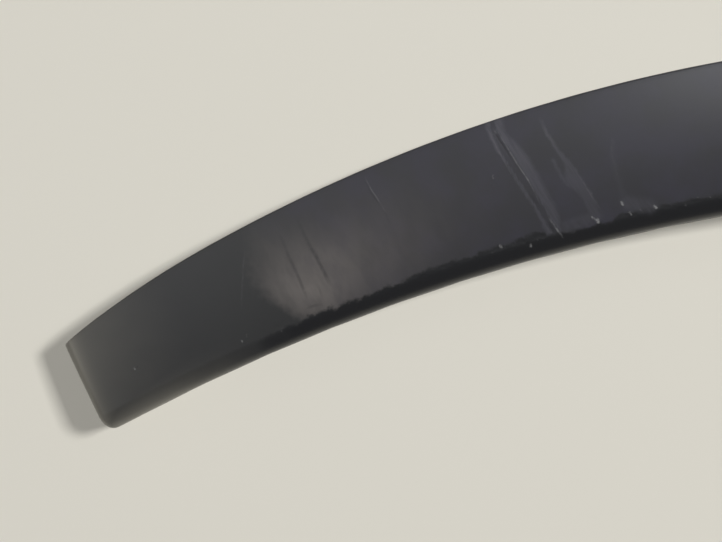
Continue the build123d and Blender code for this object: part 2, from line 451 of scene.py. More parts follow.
# %% Named scratches
# Scratches: points from top to bottom, strength at each, width and height
SCRATCHES = {
    "fine_scratch": (
        [(1.7, 31.7), (3.4, 28.2), (5.5, 25.1), (8.2, 20.5)],
        [0.1, 0.4, 0.35, 0.1],
        (0.7, 0.04),
    ),
    # A painted highlight at the top of the long groove, drawn like a scratch
    "top_gleam": ([(45.5, 49.4), (46.1, 48.3), (46.7, 47.0)], [0.0, 0.4, 0.0], (0.8, 0.02)),
    "long_burr": (
        [(47.3, 47.9), (50.2, 42.6), (52.5, 38.4), (54.8, 34.6), (57.1, 31.1), (58.7, 28.0), (61.3, 22.1)],
        [0.1, 0.55, 0.5, 0.5, 0.75, 0.25, 0.0],
        (0.7, 0.04),
    ),
    "foot_burr": (
        [(63.9, 18.0), (65.7, 15.3), (67.2, 13.2), (68.2, 11.9)],
        [0.1, 0.8, 0.8, 0.3],
        (0.9, 0.05),
    ),
    "rub_edge": (
        [(43.5, 49.8), (46.4, 43.0), (49.4, 37.0), (52.0, 32.1)],
        [0.0, 0.2, 0.2, 0.0],
        (0.7, 0.02),
    ),
    "short_rub_edge": (
        [(73.1, 34.5), (75.7, 30.3), (78.6, 25.2), (82.2, 19.7)],
        [0.0, 0.15, 0.2, 0.0],
        (0.7, 0.02),
    ),
    "short_rub_tail": (
        [(62.0, 52.0), (63.2, 48.8), (65.0, 45.6), (68.6, 40.2)],
        [0.05, 0.12, 0.14, 0.0],
        (2.2, 0.01),
    ),
    "haze_line": (
        [(-39.8, 8.6), (-40.4, 0.3), (-40.6, -7.2), (-40.8, -14.0)],
        [0.0, 0.12, 0.1, 0.0],
        (1.0, 0.0),
    ),
    "faint_line": (
        [(86.4, 46.6), (85.5, 40.7), (87.3, 32.7), (88.8, 26.2)],
        [0.0, 0.06, 0.03, 0.0],
        (1.0, 0.01),
    ),
}
print(len(SCRATCHES), "scratches:", ", ".join(SCRATCHES))

# %% [markdown]
# Where the lip was knocked, crumbs of plastic were lifted and stand pale against the black. They are
# the smallest marks of all, and most sit along the crease above the lip.

# %% Placed chips
# Chips: place, run to the far end, width, strength
CHIPS = [
    ((45.2, 32.9), (0.0, -1.2), 0.6, 0.5),
    ((47.2, 8.6), (0.4, -0.6), 0.75, 0.75),
    ((57.6, 9.0), (0.1, -0.7), 0.75, 0.85),
    ((59.6, 11.0), (0.5, -0.5), 0.6, 0.3),
    ((78.4, 18.2), (1.4, -0.8), 0.7, 0.65),
    ((80.2, 17.4), (0.3, -0.8), 0.9, 1.0),
    ((88.6, 23.4), (0.3, -0.9), 0.75, 0.85),
    ((91.2, 19.8), (0.5, -0.6), 0.75, 0.65),
    ((94.6, 20.8), (0.8, -0.3), 0.6, 0.4),
    ((99.6, 21.9), (0.6, -0.4), 0.85, 0.9),
    ((110.0, 22.5), (0.4, -0.4), 0.7, 0.4),
    ((113.9, 25.2), (0.5, -0.2), 0.6, 0.4),
    ((118.3, 25.2), (0.4, -0.2), 0.6, 0.35),
    ((-13.6, -12.7), (0.5, -0.3), 0.6, 0.3),
    ((-27.2, -20.2), (0.5, -0.4), 0.6, 0.45),
    ((-40.7, -23.6), (0.4, -0.4), 0.65, 0.55),
    ((-39.0, -21.6), (0.2, -1.2), 0.55, 0.3),
    ((-77.2, -33.2), (0.2, -0.2), 0.6, 0.7),
    ((78.2, 26.8), (0.3, -0.6), 0.6, 0.3),
]
print(len(CHIPS), "chips")

# %% [markdown]
# Wide marks are stored as a strength at every point of the mesh. A thin line is narrower than a cell, so
# for it the signed distance to the line is stored instead: a distance stays true between two points, and
# the finish can draw a crisp line from it.

# %% Ways to measure wide marks
STRIP_FADE = 1.2

picture_turn = math.radians(CAMERA_ROLL)
cosine, sine = math.cos(picture_turn), math.sin(picture_turn)


def in_picture(points):
    """Millimetres to the right of and above the middle of the picture."""
    dx, dy = points[:, 0] - CAMERA_PLACE[0], points[:, 1] - CAMERA_PLACE[1]
    return np.stack([dx * cosine + dy * sine, dy * cosine - dx * sine], axis=1)


def soft(values, low, high):
    """Smooth step of values from one level to another."""
    share = np.clip((values - low) / (high - low), 0, 1)
    return share * share * (3 - 2 * share)


def rough(places, scale, seed):
    """Smooth noise between -1 and 1 at plan places."""
    return np.array([noise.noise(Vector((p * scale, q * scale, seed))) for p, q in places])


def edge_at(places, points):
    """Sideways place of an edge that runs down the picture, at the height of each place."""
    return np.interp(-places[:, 1], [-up for _, up in points], [right for right, _ in points])


def strip(places, left, right, settings):
    """Strength of a rub between a left and a right edge."""
    left_soft, right_soft, top_strength, foot_strength = settings
    left_at, right_at = edge_at(places, left), edge_at(places, right)
    inside = soft(places[:, 0], left_at, left_at + left_soft)
    inside *= soft(places[:, 0], right_at, right_at - right_soft)
    top, foot = max(left[0][1], right[0][1]), min(left[-1][1], right[-1][1])
    ends = soft(places[:, 1], top + STRIP_FADE, top) * soft(places[:, 1], foot - STRIP_FADE, foot)
    return inside * ends * (foot_strength + (top_strength - foot_strength) * soft(places[:, 1], foot, top))


end_place = in_picture(np.array([[*(END_POINT + [0, CROWN_Y]), 0]]))[0]
print("inner corner of the leg end in the picture:", end_place.round(1))

# %% Ways to measure lines
FAR_SIDE = 10.0
LINE_REACH = 1.3
LINE_HOLD = 0.7


def line_side(places, points):
    """Signed distance across a bent line, share of the way along it, and the shares of its points."""
    steps = [math.dist(first, last) for first, last in zip(points, points[1:])]
    walked = np.cumsum([0, *steps]) / sum(steps)
    side, share = np.full(len(places), FAR), np.zeros(len(places))
    for first, last, begun, done in zip(points, points[1:], walked, walked[1:]):
        run = np.subtract(last, first)
        step = np.clip(((places - first) @ run) / (run @ run), 0, 1)
        gap = np.hypot(*(places - first - step[:, None] * run).T)
        turn_side = np.sign((places - first) @ np.array([-run[1], run[0]]))
        nearer = gap < np.abs(side)
        side = np.where(nearer, np.where(turn_side < 0, -gap, gap), side)
        share = np.where(nearer, begun + step * (done - begun), share)
    return side, share, walked


def nearest_line(places, lines):
    """Signed distance from the nearest line in half widths, its strength there, and its height or depth."""
    nearest, power = np.full(len(places), FAR_SIDE), np.zeros(len(places))
    swell = np.zeros(len(places))
    for points, strengths, (width, height) in lines.values():
        side, share, walked = line_side(places, points)
        held = np.interp(share, walked, strengths)
        held *= soft(np.abs(side), LINE_REACH, LINE_REACH * LINE_HOLD)
        side = side / (width / 2)
        nearer = np.abs(side) < np.abs(nearest)
        nearest, power = np.where(nearer, side, nearest), np.where(nearer, held, power)
        swell = np.maximum(swell, height * held * np.exp(-(side**2)))
    return nearest, power, swell


print("lines are drawn up to", LINE_REACH, "mm from their middle")

# %% [markdown]
# No dragged edge is straight. A slow waver and a finer one shift each place a little before its rub is
# looked up, which frays the edges of rubs, smears and haze in the same way.

# %% Rub and haze the shown leg
WAVER_SCALE = 0.5
FINE_WAVER_SCALE = 1.2
FINE_WAVER_SHARE = 0.5
EDGE_WAVER = 0.4
SMEAR_OUTSIDE = 0.6
SMEAR_INSIDE = 0.15
HAZE_WAVER = 2.0
HAZE_OUTSIDE = -2.0
HAZE_INSIDE = 6.0

shown_points = list({v for face in shown_faces for v in face.verts})
spots = np.array([v.co for v in shown_points]) / MM
places = in_picture(spots)
waver_right = rough(places, WAVER_SCALE, seed=3.0)
waver_right += FINE_WAVER_SHARE * rough(places, FINE_WAVER_SCALE, seed=5.0)
waver = np.stack([waver_right, rough(places, WAVER_SCALE, seed=7.0)], axis=1)
frayed = places + EDGE_WAVER * waver
rub = np.zeros(len(spots))
for left, right, settings in RUBS.values():
    rub = np.maximum(rub, strip(frayed, left, right, settings))
for start, stop, width, strength in SMEARS.values():
    side, _, _ = line_side(frayed, [start, stop])
    rub = np.maximum(rub, strength * soft(np.abs(side), width * SMEAR_OUTSIDE, width * SMEAR_INSIDE))
haze = np.zeros(len(spots))
haze_way = np.array([math.cos(math.radians(HAZE_TURN)), math.sin(math.radians(HAZE_TURN))])
haze_across = np.array([-haze_way[1], haze_way[0]])
for spot, reach_along, reach_across, strength in HAZE_PATCHES.values():
    run, side = (places - spot) @ haze_way, (places - spot) @ haze_across
    haze += strength * np.exp(-((run / reach_along) ** 2) - (side / reach_across) ** 2)
haze_left = edge_at(places, HAZE_EDGE)
haze *= soft(places[:, 0] + HAZE_WAVER * waver[:, 0], haze_left + HAZE_OUTSIDE, haze_left + HAZE_INSIDE)
marks = {"rub": rub, "haze": haze}
print("strongest rub", round(rub.max(), 2), "and strongest haze", round(haze.max(), 2))

# %% [markdown]
# Lines waver far less than rubs do. Grooves and scratches are kept apart, so that a dark line can run
# right beside a light one. A chip is a small round spot that falls off steeply.

# %% Draw the lines and chips on the shown leg
LINE_WAVER = 0.08
CHIP_STEEPNESS = 3.0

bent = places + LINE_WAVER * waver
marks["groove_side"], marks["groove"], groove_depth = nearest_line(bent, SHADED_GROOVES)
marks["scratch_side"], marks["scratch"], scratch_height = nearest_line(bent, SCRATCHES)
chip = np.zeros(len(spots))
for spot, run, width, strength in CHIPS:
    side, _, _ = line_side(places, [spot, np.add(spot, run)])
    chip = np.maximum(chip, strength * np.exp(-((side / width) ** 2) * CHIP_STEEPNESS))
marks["chip"] = chip
print("marks measured:", ", ".join(marks))

# %% [markdown]
# The same marks also change the shape. Grooves and rubs are pressed in along the normal of the face,
# burrs and chips stand up from it, and the crease above the lip is nicked all along by small knocks.
# All of this stays under 0.2 mm, as it would on the real trim.

# %% Press the marks into the plastic
CHIP_HEIGHT = 0.07
RUB_DEPTH = 0.03
RUB_EVENNESS = 0.6
NICK_DEPTH = 0.16
NICKS_FROM = 58.0
NICKS_FADE = 20.0
NICK_OUT = LIP_RADIUS + 0.4
NICK_SPREAD = 1.6
NICK_LEAST = 0.1
NICK_SCALE = 0.45
FINE_NICK_SCALE = 1.1
FINE_NICK_SHARE = 0.5
# Right and up in the picture, each as a share along and across the streaks of a rub
STREAK_SHARES = np.array([[0.2, 1.4], [-0.12, 0.85]])

normals = np.array([v.normal for v in shown_points])
out, inward, along, end = measures(spots)
streaks = rough(places @ STREAK_SHARES, 1.0, seed=2.0)
band = np.stack([along, out], axis=1)
ragged = rough(band, NICK_SCALE, seed=4.0) + FINE_NICK_SHARE * rough(band, FINE_NICK_SCALE, seed=9.0)
lip_band = np.exp(-(((out - NICK_OUT) / NICK_SPREAD) ** 2))
lip_band *= np.clip((along - NICKS_FROM) / NICKS_FADE, 0, 1)
move = scratch_height + CHIP_HEIGHT * chip - groove_depth - RUB_DEPTH * rub * (RUB_EVENNESS + streaks)
move -= NICK_DEPTH * lip_band * np.clip(ragged - NICK_LEAST, 0, None)
for point, spot, normal, step in zip(shown_points, spots, normals, move):
    point.co = Vector(spot + normal * step) * MM
print("deepest mark", round(-move.min(), 3), "mm, highest", round(move.max(), 3), "mm")

# %% [markdown]
# The finish needs to know where on the moulding it is. Four numbers are stored on every point: the
# distance from the inner edge and from the crease above the lip, the distance along from the leg end, and
# whether the point belongs to the outer skin or to the back. The marks are stored beside them.

# %% Store measures and marks on the mesh
# Crease: distance along from the leg end, and how far out from the inner edge the film stops there
CREASE = [
    (50.0, 5.2),
    (70.0, 6.2),
    (100.0, 6.5),
    (125.0, 7.2),
    (150.0, 7.8),
    (161.0, 8.6),
    (165.0, 6.6),
    (187.0, 6.3),
    (190.0, 8.8),
    (194.0, 7.0),
    (204.0, 7.2),
    (214.0, 7.9),
    (226.0, 7.2),
]

cells.verts.index_update()
skin_index = [v.index for v in skin_points]
shown_index = [v.index for v in shown_points]
cells.to_mesh(skin_mesh)
cells.free()
spots = np.array([v.co for v in skin_mesh.vertices]) / MM
out, inward, along, end = measures(spots)
on_skin = np.zeros(len(spots))
on_skin[skin_index] = 1
# The walls at the inner edge, the outer edge and the leg end belong to the outer skin too
for gap in (out, inward, end):
    on_skin[np.abs(gap) < NEAR_SKIN] = 1
crease_gap = out - np.interp(along, *zip(*CREASE))
stored_values = {"lip_gap": out, "crease_gap": crease_gap, "leg_run": along, "outer_skin": on_skin}
for name, values in marks.items():
    stored_values[name] = np.full(len(spots), FAR_SIDE if name.endswith("side") else 0.0)
    stored_values[name][shown_index] = values
for name, values in stored_values.items():
    layer = skin_mesh.attributes.new(name, "FLOAT", "POINT")
    layer.data.foreach_set("value", values.astype(np.float32))
print("stored on the mesh:", ", ".join(stored_values))

# %% [markdown]
# The skin is shaded smooth, with sharp edges kept where walls meet. The flange and the back still have
# long facets beside small ones, and a plain average would tilt the shading between them, so the larger
# facets are given more weight.

# %% Shade the skin
SHARP_ANGLE = 40.0

skin_mesh.shade_smooth()
skin_mesh.set_sharp_from_angle(angle=math.radians(SHARP_ANGLE))
even_shading = skin.modifiers.new("even_shading", "WEIGHTED_NORMAL")
even_shading.keep_sharp = True
triangles = sum(len(face.vertices) - 2 for face in skin_mesh.polygons)
print("skin has", len(skin_mesh.polygons), "faces, or", triangles, "triangles")

# %% [markdown]
# Node groups keep each effect in one place with named sockets. The first small helpers add a node,
# feed its sockets and hand back its result, so that a group reads like a short calculation.

# %% Helpers for node groups


def feed(tree, socket, value):
    """Link a socket to a result, or set its value."""
    if isinstance(value, bpy.types.NodeSocket):
        tree.links.new(value, socket)
    else:
        socket.default_value = value


def maths(tree, operation, *values):
    """Result of a Math node for one, two or three values."""
    node = tree.nodes.new("ShaderNodeMath")
    node.operation = operation
    for socket, value in zip(node.inputs, values):
        feed(tree, socket, value)
    return node.outputs[0]


def ramp(tree, value, low, high, first=0.0, last=1.0):
    """Smooth step of a value from one level to another."""
    node = tree.nodes.new("ShaderNodeMapRange")
    node.interpolation_type = "SMOOTHSTEP"
    for socket, level in zip(node.inputs, (value, low, high, first, last)):
        feed(tree, socket, level)
    return node.outputs[0]


def cloud(tree, place, scale, detail=2.0, rough_share=0.5):
    """Value of a Noise texture at a place."""
    node = tree.nodes.new("ShaderNodeTexNoise")
    feed(tree, node.inputs["Vector"], place)
    node.inputs["Scale"].default_value = scale
    node.inputs["Detail"].default_value = detail
    node.inputs["Roughness"].default_value = rough_share
    return node.outputs["Fac"]


def new_group(name, inputs, outputs):
    """Node group with named sockets; the first input is a place and the others are numbers."""
    tree = bpy.data.node_groups.new(name, "ShaderNodeTree")
    tree.interface.new_socket("Place", in_out="INPUT", socket_type="NodeSocketVector")
    for label in inputs:
        tree.interface.new_socket(label, in_out="INPUT", socket_type="NodeSocketFloat")
    for label in outputs:
        tree.interface.new_socket(label, in_out="OUTPUT", socket_type="NodeSocketFloat")
    return tree, tree.nodes.new("NodeGroupInput").outputs, tree.nodes.new("NodeGroupOutput").inputs


def report(tree):
    """Say what a finished group holds."""
    print("group", tree.name, "with", len(tree.nodes), "nodes")


print("node groups before the first effect:", len(bpy.data.node_groups))

# %% [markdown]
# Where something was dragged over the plastic it is paler and duller, in streaks that run along the drag.
# This group takes a strength from the mesh and breaks it into such streaks; their turn, length and width
# are sockets, so that the rubs and the haze can share it.

# %% Group: drag streaks
STREAK_DETAIL = 3.0
STREAK_ROUGHNESS = 0.6
STREAK_LEVELS = (0.32, 0.64)

streak_inputs = ["Strength", "Turn", "Length", "Width", "Break Up"]
streak_tree, given, result = new_group("drag_streaks", streak_inputs, ["Mask"])
turned_place = streak_tree.nodes.new("ShaderNodeVectorRotate")
turned_place.rotation_type = "Z_AXIS"
feed(streak_tree, turned_place.inputs["Vector"], given["Place"])
feed(streak_tree, turned_place.inputs["Angle"], given["Turn"])
parts = streak_tree.nodes.new("ShaderNodeSeparateXYZ")
feed(streak_tree, parts.inputs[0], turned_place.outputs[0])
squeezed = streak_tree.nodes.new("ShaderNodeCombineXYZ")
feed(streak_tree, squeezed.inputs[0], maths(streak_tree, "DIVIDE", parts.outputs[0], given["Length"]))
feed(streak_tree, squeezed.inputs[1], maths(streak_tree, "DIVIDE", parts.outputs[1], given["Width"]))
least = maths(streak_tree, "SUBTRACT", 1.0, given["Break Up"])
streak = cloud(streak_tree, squeezed.outputs[0], 1.0, STREAK_DETAIL, STREAK_ROUGHNESS)
streak = ramp(streak_tree, streak, *STREAK_LEVELS, least, 1.0)
feed(streak_tree, result["Mask"], maths(streak_tree, "MULTIPLY", given["Strength"], streak))
report(streak_tree)

# %% [markdown]
# A scratch is a thin line that skips where the tool lost contact. The mesh stores how far a place is to
# the side of the nearest line; this group draws the line. It serves the painted shade of the grooves and
# the light turned-up edges, and only the colour that follows differs.

# %% Group: line mark
LINE_EDGE = (1.0, 0.15)
SKIP_SCALE = 0.5
SKIP_DETAIL = 3.0
SKIP_LEVELS = (0.36, 0.56)

line_tree, given, result = new_group("line_mark", ["Side", "Strength", "Skips"], ["Mask"])
edge = ramp(line_tree, maths(line_tree, "ABSOLUTE", given["Side"]), *LINE_EDGE)
least = maths(line_tree, "SUBTRACT", 1.0, given["Skips"])
skipping = cloud(line_tree, given["Place"], SKIP_SCALE, SKIP_DETAIL)
skipping = ramp(line_tree, skipping, *SKIP_LEVELS, least, 1.0)
mask = maths(line_tree, "MULTIPLY", maths(line_tree, "MULTIPLY", edge, skipping), given["Strength"])
feed(line_tree, result["Mask"], mask)
report(line_tree)

# %% [markdown]
# A chip is a crumb of plastic that was lifted and stands pale against the face. The mesh stores a round
# spot for it, and this group gnaws at the spot so that no two chips look alike.

# %% Group: chip
GNAW_SCALE = 1.5
GNAW_GAIN = 2.4
GNAW_SHIFT = -0.2
CHIP_LEVELS = (0.12, 0.9)

chip_tree, given, result = new_group("chip", ["Strength"], ["Mask"])
gnaw = maths(chip_tree, "MULTIPLY_ADD", cloud(chip_tree, given["Place"], GNAW_SCALE), GNAW_GAIN, GNAW_SHIFT)
gnawed = maths(chip_tree, "MULTIPLY", given["Strength"], gnaw)
feed(chip_tree, result["Mask"], ramp(chip_tree, gnawed, *CHIP_LEVELS))
report(chip_tree)

# %% [markdown]
# A dull film of dried road dirt and polish lies over the face and stops at the lip in a ragged line,
# because hands and cloths wipe the rounded lip bare. The film starts a little way up from the leg end, and
# so does the bare lip, which is painted darker than clean plastic as painted shade.

# %% Group: film
TATTER_SCALE = 0.17
TATTER_DETAIL = 5.0
TATTER_ROUGHNESS = 0.68
TATTER_SWAY = 6.5
TATTER_EDGE = (-0.8, 0.7)
START_SCALE = 0.05
START_SWAY = 26.0
FILM_FADE = 26.0
LIP_FADE = 12.0
BLOTCH_SCALE = 0.08
BLOTCH_DETAIL = 3.0
BLOTCH_ROUGHNESS = 0.55
BLOTCH_LEVELS = (0.35, 0.7)
THINNEST_FILM = 0.4

film_inputs = ["Crease Gap", "Leg Run", "Film Start", "Lip Start"]
film_tree, given, result = new_group("film", film_inputs, ["Mask", "Bare Shaded Lip"])
tatter = cloud(film_tree, given["Place"], TATTER_SCALE, TATTER_DETAIL, TATTER_ROUGHNESS)
tatter = maths(film_tree, "MULTIPLY", maths(film_tree, "SUBTRACT", tatter, 0.5), TATTER_SWAY)
above = ramp(film_tree, maths(film_tree, "ADD", given["Crease Gap"], tatter), *TATTER_EDGE)
drift = maths(film_tree, "SUBTRACT", cloud(film_tree, given["Place"], START_SCALE), 0.5)
drift = maths(film_tree, "MULTIPLY", drift, START_SWAY)
run_place = maths(film_tree, "ADD", given["Leg Run"], drift)
film_full = maths(film_tree, "ADD", given["Film Start"], FILM_FADE)
film_begins = ramp(film_tree, run_place, given["Film Start"], film_full)
lip_full = maths(film_tree, "ADD", given["Lip Start"], LIP_FADE)
lip_begins = ramp(film_tree, run_place, given["Lip Start"], lip_full)
blotch = cloud(film_tree, given["Place"], BLOTCH_SCALE, BLOTCH_DETAIL, BLOTCH_ROUGHNESS)
blotch = ramp(film_tree, blotch, *BLOTCH_LEVELS, THINNEST_FILM, 1.0)
film_there = maths(film_tree, "MULTIPLY", film_begins, above)
feed(film_tree, result["Mask"], maths(film_tree, "MULTIPLY", film_there, blotch))
below = maths(film_tree, "SUBTRACT", 1.0, above)
feed(film_tree, result["Bare Shaded Lip"], maths(film_tree, "MULTIPLY", lip_begins, below))
report(film_tree)

# %% [markdown]
# Warm grey painted reflection of the pale table lies on the rolled-off end of the leg, strongest at its
# rim and toward the outer corner, and along the first stretch of the lip. It fades away from both.

# %% Group: painted table reflection
DRIFT_SCALE = 0.12
DRIFT_DETAIL = 3.0
DRIFT_SWAY = 8.0
WIDE_REFLECTION = 0.13
RIM_REFLECTION = 1.35
RIM_FALL = -0.42
CORNER_GAPS = (2.0, 38.0)
CORNER_SHARES = (0.95, 2.1)
LIP_FALL = -0.34
LIP_FULL_SHARE = 0.3

painted_reflection_tree, given, result = new_group("painted_reflection", ["Lip Gap", "Leg Run", "End Reach", "Lip Reach"], ["Mask"])
drift = maths(painted_reflection_tree, "SUBTRACT", cloud(painted_reflection_tree, given["Place"], DRIFT_SCALE, DRIFT_DETAIL), 0.5)
run_place = maths(painted_reflection_tree, "ADD", given["Leg Run"], maths(painted_reflection_tree, "MULTIPLY", drift, DRIFT_SWAY))
wide_end = ramp(painted_reflection_tree, run_place, given["End Reach"], 0.0, 0.0, WIDE_REFLECTION)
rim_end = maths(painted_reflection_tree, "EXPONENT", maths(painted_reflection_tree, "MULTIPLY", given["Leg Run"], RIM_FALL))
both_ends = maths(painted_reflection_tree, "MULTIPLY_ADD", rim_end, RIM_REFLECTION, wide_end)
toward_corner = ramp(painted_reflection_tree, given["Lip Gap"], *CORNER_GAPS, *CORNER_SHARES)
at_end = maths(painted_reflection_tree, "MULTIPLY", both_ends, toward_corner)
rim_gap = maths(painted_reflection_tree, "MAXIMUM", given["Lip Gap"], 0.0)
on_lip = maths(painted_reflection_tree, "EXPONENT", maths(painted_reflection_tree, "MULTIPLY", rim_gap, LIP_FALL))
lip_full = maths(painted_reflection_tree, "MULTIPLY", given["Lip Reach"], LIP_FULL_SHARE)
lip_reflection = maths(painted_reflection_tree, "MULTIPLY", on_lip, ramp(painted_reflection_tree, run_place, given["Lip Reach"], lip_full))
feed(painted_reflection_tree, result["Mask"], maths(painted_reflection_tree, "MAXIMUM", at_end, lip_reflection))
report(painted_reflection_tree)

# %% [markdown]
# The mould gives the plastic a fine satin grain. It is far smaller than a cell of the mesh, so it is a
# pattern: it varies the roughness a little and feeds a very low bump. A second, broad pattern shifts the
# black a little from place to place.

# %% Group: moulded grain
GRAIN_SCALE = 3.2
GRAIN_ROUGHNESS = 0.6
PATCH_SCALE = 0.045
PATCH_DETAIL = 3.0
PATCH_ROUGHNESS = 0.55

grain_tree, given, result = new_group("moulded_grain", [], ["Grain", "Patch"])
feed(grain_tree, result["Grain"], cloud(grain_tree, given["Place"], GRAIN_SCALE, 2.0, GRAIN_ROUGHNESS))
broad_patch = cloud(grain_tree, given["Place"], PATCH_SCALE, PATCH_DETAIL, PATCH_ROUGHNESS)
feed(grain_tree, result["Patch"], broad_patch)
report(grain_tree)

# %% [markdown]
# The material puts the effects together. Places are read in millimetres from the middle of the picture,
# turned with it, so that the patterns run with the marks.

# %% Black plastic: its place on the part
plastic = bpy.data.materials.new("worn_black_plastic")
plastic.use_nodes = True
tree = plastic.node_tree
shader = tree.nodes["Principled BSDF"]
coordinates = tree.nodes.new("ShaderNodeTexCoord")
picture_plane = tree.nodes.new("ShaderNodeMapping")
picture_plane.vector_type = "TEXTURE"
picture_plane.inputs["Location"].default_value = (CAMERA_PLACE[0] * MM, CAMERA_PLACE[1] * MM, 0)
picture_plane.inputs["Rotation"].default_value = (0, 0, picture_turn)
picture_plane.inputs["Scale"].default_value = (MM, MM, MM)
feed(tree, picture_plane.inputs["Vector"], coordinates.outputs["Object"])
place = picture_plane.outputs["Vector"]


def stored(name):
    """Value of a number stored on the mesh."""
    node = tree.nodes.new("ShaderNodeAttribute")
    node.attribute_name = name
    return node.outputs["Fac"]


def use(group, settings):
    """Instance of a node group with its place linked and its other sockets set."""
    node = tree.nodes.new("ShaderNodeGroup")
    node.node_tree = group
    feed(tree, node.inputs["Place"], place)
    for label, value in settings.items():
        feed(tree, node.inputs[label], value)
    return node


print("material", plastic.name, "reads places turned by", CAMERA_ROLL, "degrees")

# %% [markdown]
# Each mask says how much of one effect a place has. Film, the bare lip with its painted shade and the
# painted reflection of the table belong to the outer skin only, so the back of the moulding stays clean,
# as it does behind a fitted trim.

# %% Black plastic: masks
FILM_START = 70.0
LIP_START = 59.0
REFLECTION_END_REACH = 44.0
REFLECTION_LIP_REACH = 62.0
GROOVE_SKIPS = 0.4
SCRATCH_SKIPS = 0.7
# Streaks: turn, length, width and how much they break the mark up
RUB_STREAKS = {"Turn": math.radians(58.5), "Length": 9.0, "Width": 0.9, "Break Up": 0.45}
HAZE_STREAKS = {"Turn": math.radians(64.0), "Length": 16.0, "Width": 7.0, "Break Up": 0.3}

outer = stored("outer_skin")
leg_run = stored("leg_run")
film_starts = {"Film Start": FILM_START, "Lip Start": LIP_START}
film = use(film_tree, {"Crease Gap": stored("crease_gap"), "Leg Run": leg_run, **film_starts})
# The pale table's reflection on the rolled end and along the lip is painted into the colour
reflection_reaches = {"End Reach": REFLECTION_END_REACH, "Lip Reach": REFLECTION_LIP_REACH}
painted_reflection = use(painted_reflection_tree, {"Lip Gap": stored("lip_gap"), "Leg Run": leg_run, **reflection_reaches})
painted_reflection_mask = maths(tree, "MULTIPLY", painted_reflection.outputs["Mask"], outer)
film_mask = maths(tree, "MULTIPLY", film.outputs["Mask"], outer)
# The lip below the film is painted darker than clean plastic, as painted shade
shaded_bare_lip_mask = maths(tree, "MULTIPLY", film.outputs["Bare Shaded Lip"], outer)
grain = use(grain_tree, {})
rubbed = use(streak_tree, {"Strength": stored("rub"), **RUB_STREAKS}).outputs["Mask"]
hazed = use(streak_tree, {"Strength": stored("haze"), **HAZE_STREAKS}).outputs["Mask"]
hazed = maths(tree, "MULTIPLY", hazed, maths(tree, "SUBTRACT", 1.0, shaded_bare_lip_mask))
# The dark line of a groove is painted shade
groove_settings = {"Side": stored("groove_side"), "Strength": stored("groove"), "Skips": GROOVE_SKIPS}
groove_shade_mask = use(line_tree, groove_settings).outputs["Mask"]
scratch_settings = {"Side": stored("scratch_side"), "Strength": stored("scratch"), "Skips": SCRATCH_SKIPS}
scratched = use(line_tree, scratch_settings).outputs["Mask"]
chipped = use(chip_tree, {"Strength": stored("chip")}).outputs["Mask"]
print("masks: film, bare lip, dust, rubs, haze, grooves, scratches and chips")

# %% [markdown]
# Clean plastic is a neutral black. The film adds a bluish bloom, the painted reflection of the table and
# the haze patch are warm greys, rubs are paler and a little blue, and the painted shade in the grooves and
# on the bare lip is darker than the rest. The colours are laid over each other in the order listed, the
# wear in the order in which it came to the real trim.

# %% Black plastic: colour
CLEAN_COLOUR = (0.0165, 0.0165, 0.0165, 1)
PATCH_COLOUR = (0.021, 0.021, 0.021, 1)
# Layers from the first to the last: mask and colour
COLOUR_LAYERS = {
    "film": (film_mask, (0.0232, 0.0221, 0.0293, 1)),
    # Bare lip, painted darker than clean plastic as painted shade
    "bare_lip_and_shade": (shaded_bare_lip_mask, (0.007, 0.007, 0.0078, 1)),
    # Painted reflection of the pale table on the rolled end and the lip
    "painted_reflection": (painted_reflection_mask, (0.17, 0.16, 0.135, 1)),
    "haze": (hazed, (0.116, 0.105, 0.098, 1)),
    "rubs": (rubbed, (0.057, 0.0555, 0.066, 1)),
    # Painted shade in the grooves
    "groove_shade": (groove_shade_mask, (0.008, 0.008, 0.009, 1)),
    "scratches": (scratched, (0.13, 0.13, 0.132, 1)),
    "chips": (chipped, (0.17, 0.17, 0.17, 1)),
}
# Numbers of a Mix node's sockets when it mixes colours
MIX_FACTOR, MIX_FIRST, MIX_SECOND, MIX_RESULT = 0, 6, 7, 2


def blend(mask, first, second):
    """Colour between two colours by a mask."""
    node = tree.nodes.new("ShaderNodeMix")
    node.data_type = "RGBA"
    feed(tree, node.inputs[MIX_FACTOR], mask)
    feed(tree, node.inputs[MIX_FIRST], first)
    feed(tree, node.inputs[MIX_SECOND], second)
    return node.outputs[MIX_RESULT]


colour = blend(grain.outputs["Patch"], CLEAN_COLOUR, PATCH_COLOUR)
for mask, layer_colour in COLOUR_LAYERS.values():
    colour = blend(mask, colour, layer_colour)
feed(tree, shader.inputs["Base Color"], colour)
print("colour of", len(COLOUR_LAYERS), "layers over clean plastic")

# %% [markdown]
# The plastic is satin: smooth enough to show a broad gleam of the window, too rough for a clear
# reflection. Film and rubs dull it a little more, and the grain breaks the gleam up.

# %% Black plastic: gleam and grain
CLEAN_ROUGHNESS = 0.3
DULL_ROUGHNESS = 0.34
GRAIN_SPREAD = 0.1
BUMP_STRENGTH = 0.12
BUMP_DISTANCE = 0.00008

